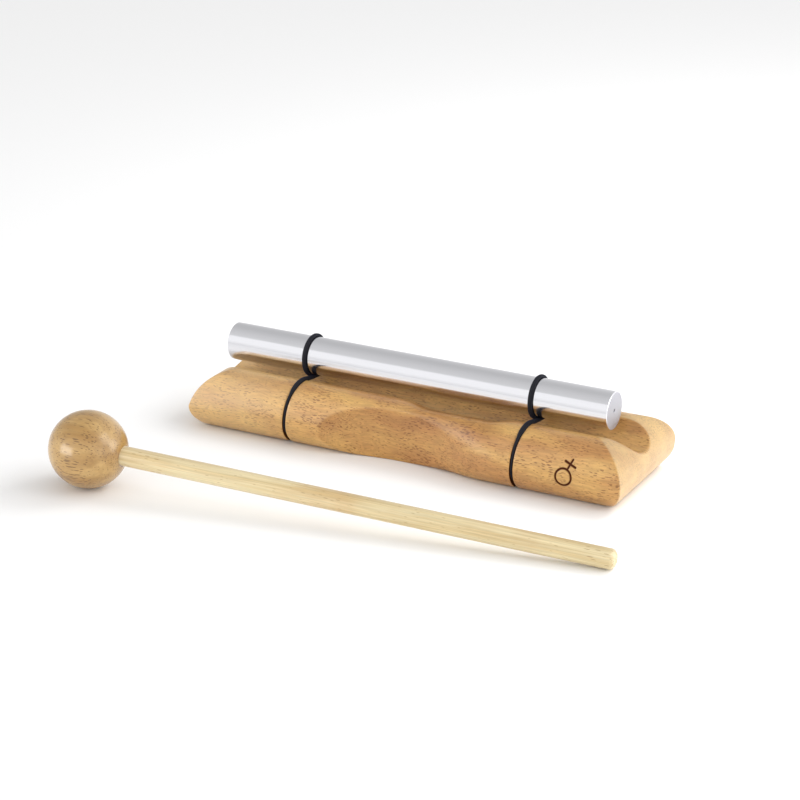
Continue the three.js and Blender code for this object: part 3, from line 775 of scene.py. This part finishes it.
# %% Rod metal
FACE_REACH = 1.2 * MM  # deeper than the centre mark
MARK_SHADE_SHARE = 0.8
LINE_SIZE, LINE_HEIGHT = (45 * MM, 0.35 * MM), 0.002 * MM
WAVE_SIZE, WAVE_HEIGHT = (16 * MM, 7 * MM), 0.045 * MM
POLISHED, FACED_DULLER = (0.13, 0.2), 0.35  # roughness
metal, tree, shader, place = new_material("polished aluminium")
shader.inputs["Metallic"].default_value = 1.0
from_middle = add(tree, "VectorMath", {0: place, 1: tuple(rod_middle)}, operation="SUBTRACT")
along = add(tree, "SeparateXYZ", {0: from_middle.outputs[0]}).outputs["X"]
flat_off = add(tree, "VectorMath", {0: from_middle.outputs[0], 1: (0, 1, 1)}, operation="MULTIPLY")
radius = add(tree, "VectorMath", {0: flat_off.outputs[0]}, operation="LENGTH").outputs["Value"]
at_end = calc(tree, "GREATER_THAN", calc(tree, "ABSOLUTE", along), rod_end - FACE_REACH)
on_face = calc(tree, "LESS_THAN", radius, rod_radius - ROD_EASE)
faced = calc(tree, "MULTIPLY", at_end, on_face)
# painted shade in the centre mark's dimple
in_mark = calc(tree, "LESS_THAN", radius, MARK_SHADE_SHARE * MARK_RADIUS)
face_grey_and_mark_shade = blended(tree, "MIX", in_mark, colour("b4b4ba"), colour("626268"))
tree.links.new(blended(tree, "MIX", faced, colour("e8e8ec"), face_grey_and_mark_shade), shader.inputs["Base Color"])
lines = noise(tree, grain_space(tree, place, *LINE_SIZE), 1, 3)
uneven = noise(tree, grain_space(tree, place, *WAVE_SIZE), 1, 1)
polish = remap(tree, lines.outputs["Fac"], *FIBRE_BAND, *POLISHED)
tree.links.new(calc(tree, "MULTIPLY_ADD", faced, FACED_DULLER, polish), shader.inputs["Roughness"])
wave = add(tree, "Bump", {"Height": uneven.outputs["Fac"], "Strength": 1.0, "Distance": WAVE_HEIGHT})
scratch = add(tree, "Bump", {"Height": lines.outputs["Fac"], "Strength": 0.5, "Distance": LINE_HEIGHT,
                             "Normal": wave.outputs[0]})
tree.links.new(scratch.outputs[0], shader.inputs["Normal"])

rod = make_piece("rod", rod_points + rod_middle, rod_faces, metal, sharp_degrees=40)
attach(rod, "chime")
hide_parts("chime_rod")

# %% [markdown]
# The cords
#
# Each is a black elastic, a rubber core in a braided cover, nearly two millimetres thick. It lies in
# the kerf under the block and up both sides, where the cut pinches it, comes out over the rims, and
# wraps once round the rod: from the front rim it passes under the rod, up behind it, where it
# changes sides, over the top, down the front and under again beside itself to the back rim. Between
# rim and rod it is a straight line that touches the wrap. Block and rod hold it all the way, and the
# rod has dragged its hoops a little to the left of the kerfs.

# %% The cord's route
CORD_RADIUS = 0.95 * MM
# half its width and half its height: in the kerf, which pinches it, where it swells out over the rim,
# and round the rod, where it is stretched and lies flattened on the metal
KERF_CORD_HALF = (0.7 * MM, 1.24 * MM)
RIM_HALF = (1.22 * MM, 1.06 * MM)
WRAP_HALF = (1.0 * MM, 0.62 * MM)
STRAND_GAP, HOOP_OFF_CENTRE = 0.06 * MM, -0.5 * MM
crossing = WRAP_HALF[0] + STRAND_GAP / 2
front_side, back_side = HOOP_OFF_CENTRE + crossing, HOOP_OFF_CENTRE - crossing
axis_height = rod_middle[2]
wrap = rod_radius + WRAP_HALF[1]  # from the rod's axis to the cord's middle
kerf_side = EDGE_REACH - KERF_SIDE_DEPTH + KERF_CORD_HALF[1]
kerf_top = top_round - KERF_RIM_DEPTH + RIM_HALF[1]
kerf_under = WIDEST_HEIGHT - KERF_UNDER_DEPTH + KERF_CORD_HALF[1]


def rim_point(angle):
    """The cord's middle over the front kerf, at an angle up from the widest line."""
    return np.stack([-shoulder - kerf_side * np.cos(angle),
                     WIDEST_HEIGHT + np.where(angle < 0, kerf_under, kerf_top) * np.sin(angle)], axis=-1)


# the straight stretch leaves the rim at the first angle where its tangent just clears the wrap
angles = np.linspace(math.pi / 2, math.pi * 0.75, 4000)
tangents = np.stack([kerf_side * np.sin(angles), kerf_top * np.cos(angles)], axis=-1)
tangents /= np.linalg.norm(tangents, axis=1, keepdims=True)
to_axis = np.array([0, axis_height]) - rim_point(angles)
offset = tangents[:, 0] * to_axis[:, 1] - tangents[:, 1] * to_axis[:, 0]
leave = int(np.argmax(offset >= wrap))
leaving, run = angles[leave], tangents[leave]
strand = float(run @ to_axis[leave])
touch = rim_point(leaving) + run * strand
touch_angle = math.atan2(touch[1] - axis_height, touch[0])
print(f"cord leaves the rim at {math.degrees(leaving):.0f} degrees, {strand / MM:.1f} mm from the rod")

# %% [markdown]
# The route is worked out for the front half and turned round for the back half. Beside each point
# stands the cord's half width, its half height, and how far it has gone sideways, from 0 over the
# kerf to 1 on the rod: the two strands under the rod lie side by side, each on its own side of the
# hoop's middle, and the change from one side to the other is behind the rod.

# %% The cord's centre line
FIRST_SEEN, FULL_WIDTH = 0.8, 1.14  # angles up the rim between which it swells out of the kerf
UNDER_STEPS, KERF_STEPS, FREE_STEPS, HOOP_STEPS = 40, 160, 50, 240
ASIDE_BY_SHARE = 0.625  # of the free stretch, by which it has gone all the way to its side


def front_half():
    """Rows of (y, z, sideways, half width, half height) from under the block to the rod."""
    under_y = np.linspace(0, -shoulder, UNDER_STEPS, endpoint=False)
    under = [(y, WIDEST_HEIGHT - kerf_under) for y in under_y]
    rise = np.linspace(-math.pi / 2, leaving, KERF_STEPS)
    out_of_kerf = ease((rise - FIRST_SEEN) / (FULL_WIDTH - FIRST_SEEN))
    share = np.linspace(0, 1, FREE_STEPS)[1:]
    free = rim_point(leaving) + run * strand * share[:, None]
    line = np.concatenate([under, rim_point(rise), free])
    emerged = np.concatenate([np.zeros(UNDER_STEPS), out_of_kerf, np.ones(len(share))])
    on_rod, sideways = (np.concatenate([np.zeros(UNDER_STEPS + KERF_STEPS), ease(done)])
                        for done in (share, share / ASIDE_BY_SHARE))
    sizes = [KERF_CORD_HALF[i] + (RIM_HALF[i] - KERF_CORD_HALF[i]) * emerged
             + (WRAP_HALF[i] - RIM_HALF[i]) * on_rod for i in (0, 1)]
    return np.column_stack([line, sideways, *sizes])


front = front_half()
sweep = 2 * math.pi + 2 * (-math.pi / 2 - touch_angle)
round_rod = touch_angle + np.linspace(0, sweep, HOOP_STEPS)[1:-1]
changed = ease((round_rod + math.pi / 4) / (math.pi / 2))
winding = np.column_stack([wrap * np.cos(round_rod), axis_height + wrap * np.sin(round_rod),
                           front_side + (back_side - front_side) * changed,
                           *(np.full(len(round_rod), size) for size in WRAP_HALF)])
route = np.concatenate([front * (1, 1, front_side, 1, 1), winding,
                        front[:0:-1] * (-1, 1, back_side, 1, 1)])
steps = np.linalg.norm(np.diff(np.vstack([route, route[:1]])[:, :3], axis=0), axis=1)
travel = np.concatenate([[0], np.cumsum(steps)])
print(f"cord: {travel[-1] / MM:.1f} mm round as a loop")

# %% [markdown]
# The braid
#
# The cover is braided from eight yarns each way. Each yarn is a low ridge that winds round the cord
# with its slope, and at every crossing one family lies on top. Counting turns round the cord plus
# turns along it numbers the yarns of one family, the difference numbers the others, and where the sum
# of the two whole numbers is even the first family is on top. A real yarn is a quarter of a
# millimetre wide. It is drawn at three quarters of one here, so that the weave can be seen. The
# route's own corners are first rounded by averaging each point with its neighbours a few times.

# %% Braided tube
YARNS, FINENESS = 8, 4  # points to each yarn, round the cord and along it
SIDES = YARNS * FINENESS
RIDGE = 0.07 * MM
ROUNDINGS = 6
pitch = 2 * math.pi * CORD_RADIUS / YARNS  # as long along the cord as it is wide round it
crossings = int(round(travel[-1] / pitch / 2)) * 2
rings = crossings * FINENESS
stops = np.linspace(0, travel[-1], rings, endpoint=False)
path = np.stack([np.interp(stops, travel, np.append(c, c[0])) for c in route.T], axis=-1)
for _ in range(ROUNDINGS):
    path = (np.roll(path, 1, axis=0) + 2 * path + np.roll(path, -1, axis=0)) / 4


def braided_tube(x_place):
    """Rings round the route: half width times cosine along the cord's own side, half height times sine
    outwards, both swollen by the ridges of the braid."""
    centre = np.column_stack([x_place + path[:, 2], path[:, 0], path[:, 1]])
    along = np.roll(centre, -1, axis=0) - np.roll(centre, 1, axis=0)
    along /= np.linalg.norm(along, axis=1, keepdims=True)
    outwards = np.cross(np.array([1.0, 0, 0]), along)
    outwards /= np.linalg.norm(outwards, axis=1, keepdims=True)
    sideways = np.cross(outwards, along)
    turn = np.arange(SIDES) / SIDES
    advance = (np.arange(rings) / FINENESS)[:, None]
    first, second = turn * YARNS + advance, turn * YARNS - advance
    first_on_top = (np.floor(first) + np.floor(second)) % 2 == 0
    ridge = np.sin(math.pi * np.where(first_on_top, first % 1, second % 1))
    wide, tall = (path[:, i, None] + RIDGE * (ridge - 1) for i in (3, 4))
    circle = 2 * math.pi * turn
    return (centre[:, None] + sideways[:, None] * (wide * np.cos(circle))[..., None]
            + outwards[:, None] * (tall * np.sin(circle))[..., None])


# %% [markdown]
# The yarn is matt black polyester with a trace of blue where light grazes it. A fabric like that is
# a rough dielectric with some sheen, the pale edge that short fibres give.
# When the rod bounces, the kerfs hold the cord still, the hoop moves with the rod, and only the
# strands between rim and rod bend. Each cord is made in two halves, which meet under the block and
# over the rod.

# %% Elastic cords
FUZZ_SIZE = 0.4 * MM
elastic, tree, shader, place = new_material("black braided elastic")
fuzz = noise(tree, place, FUZZ_SIZE, 2)
tree.links.new(blended(tree, "MIX", fuzz.outputs["Fac"], colour("08080d"), colour("14151e")),
               shader.inputs["Base Color"])
shader.inputs["Roughness"].default_value = 0.75
shader.inputs["Specular IOR Level"].default_value = 0.25
shader.inputs["Sheen Weight"].default_value = 0.1
shader.inputs["Sheen Tint"].default_value = colour("8088b8")

cords = []
half = rings // 2
for side, x_place in (("left", -KERF_PLACE), ("right", KERF_PLACE)):
    tube = braided_tube(x_place)
    back_half = np.vstack([tube[half:], tube[:1]])
    for part, stretch, way in (("front", tube[:half + 1], 1), ("back", back_half, -1)):
        # each end is closed to the middle of its last ring
        points, faces = capped(stretch, stretch[[0, -1]].mean(axis=1))
        cord = make_piece(f"elastic_{side}_{part}", points, faces, elastic, 80)
        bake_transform(cord)
        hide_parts(f"cord_{side}")
        cords.append(cord)
for lamp in (side_light, front_light, sheen_card):
    lights_only(lamp, [block, *cords])

# %% [markdown]
# The mallet
#
# A ball is turned from the same kind of hardwood, a hair longer along its grain than across, and
# bored along the grain for the handle, a pale dowel with a rounded end. It lies on its ball and on
# the far end of the dowel, so the dowel slopes down a little: the slope's sine is the difference of
# the two radii over the reach. The slimmer ball sags by a quarter of a millimetre to rest on the table.

# %% The mallet's shapes
low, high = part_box("mallet_head")
head_radius = (high.z - low.z) / 2
head_centre = np.array([low.x + head_radius, low.y + head_radius, head_radius])
MALLET_TURN = 0.117
HANDLE_RADIUS, HANDLE_REACH, HANDLE_CROWN, CROWN_SHARE = 4 * MM, 219 * MM, 2.3 * MM, 0.985
BORE_PLAY, SEAT_DEPTH, SEAT_PLAY, MOUTH_EASE = 0.06 * MM, 20 * MM, 0.3 * MM, 0.25 * MM
LONGER, SLIMMER, SAG = 1.006, 0.982, 0.25 * MM
BALL_RINGS, CROWN_STEPS, DOWEL_RINGS = 90, 13, 70
slope = math.asin((head_radius - HANDLE_RADIUS) / HANDLE_REACH)
tilt = np.array([[math.cos(slope), 0, math.sin(slope)], [0, 1, 0], [-math.sin(slope), 0, math.cos(slope)]])
spin = np.array([[math.cos(MALLET_TURN), -math.sin(MALLET_TURN), 0],
                 [math.sin(MALLET_TURN), math.cos(MALLET_TURN), 0], [0, 0, 1]])
mallet_turn = spin @ tilt

bore = HANDLE_RADIUS + BORE_PLAY
mouth = math.asin((bore + MOUTH_EASE) / head_radius)
ball_angle = np.linspace(math.pi, mouth, BALL_RINGS)
mouth_place = head_radius * math.cos(mouth) * LONGER
ball_profile = np.concatenate([
    head_radius * np.stack([LONGER * np.cos(ball_angle), SLIMMER * np.sin(ball_angle)], axis=-1),
    [(mouth_place - MOUTH_EASE, bore), (mouth_place - SEAT_DEPTH, bore), (mouth_place - SEAT_DEPTH, 0)]])
ball_profile[0, 1] = 0

crown = np.linspace(0, math.pi / 2, CROWN_STEPS + 1)[1:]
dowel_body = np.linspace(mouth_place - SEAT_DEPTH + SEAT_PLAY, HANDLE_REACH - HANDLE_CROWN, DOWEL_RINGS)
dowel_profile = np.concatenate([
    [(dowel_body[0], 0)], [(place, HANDLE_RADIUS) for place in dowel_body],
    np.stack([HANDLE_REACH - HANDLE_CROWN * (1 - np.sin(crown)),
              HANDLE_RADIUS * CROWN_SHARE * np.cos(crown)], axis=-1)])
dowel_profile[-1, 1] = 0
print(f"mallet: ball {head_radius * 2 / MM:.1f} mm, slope {math.degrees(slope):.1f} degrees")

# %% [markdown]
# The ball's wood is a little greener and glossier than the block's, with longer and darker pores.
# The dowel is a pale wood, ramin or birch, all long straight fibres with hardly a pore. Both grains
# run along the mallet, so their patterns are centred on the ball and turned with it. In the picture
# the rod doesn't mirror the mallet, which was lit on its own, so mirror rays pass it by.

# %% The mallet's pieces
BALL_LOOK = dict(pale="c09b5e", deep="a17a40", warm="9b703a", pore_colour="5f4019",
                 figure=(34 * MM, 7 * MM), fibre=(12 * MM, 0.9 * MM), pore=(5.5 * MM, 0.72 * MM),
                 wander=16 * MM, bend=1 * MM, cloud=14 * MM, crowd=14 * MM, cloudy=0.45, streaky=0.1,
                 pore_share=0.42, pore_depth=0.7, roughness=0.36, coat=0.7, coat_roughness=0.16)
DOWEL_LOOK = dict(pale="e2d2a8", deep="ceb684", warm="c49963", pore_colour="8c6734",
                  figure=(60 * MM, 2.2 * MM), fibre=(26 * MM, 0.5 * MM), pore=(6 * MM, 0.8 * MM),
                  wander=40 * MM, bend=0.8 * MM, cloud=26 * MM, crowd=20 * MM, cloudy=0.35, streaky=0.16,
                  pore_share=0.26, pore_depth=0.6, roughness=0.42, coat=0.4, coat_roughness=0.2)
grain = dict(centre=tuple(head_centre), turn=(0, slope, MALLET_TURN))
mallet = []
for name, look, profile, facets, sag, node, slot_name in (
        ("mallet_ball", BALL_LOOK, ball_profile, 160, SAG, "mallet_head", "head_wood"),
        ("mallet_dowel", DOWEL_LOOK, dowel_profile, 96, 0, "mallet_handle", "dowel_wood")):
    finish = wood(name.replace("_", " ") + " wood", look, **grain)[0]
    points, faces = turned(profile, facets)
    piece = make_piece(name, points @ mallet_turn.T + head_centre - (0, 0, sag), faces, finish, 40)
    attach(piece, "mallet")
    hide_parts(node)
    piece.visible_glossy = False
    mallet.append(piece)
lights_only(ball_light, mallet)
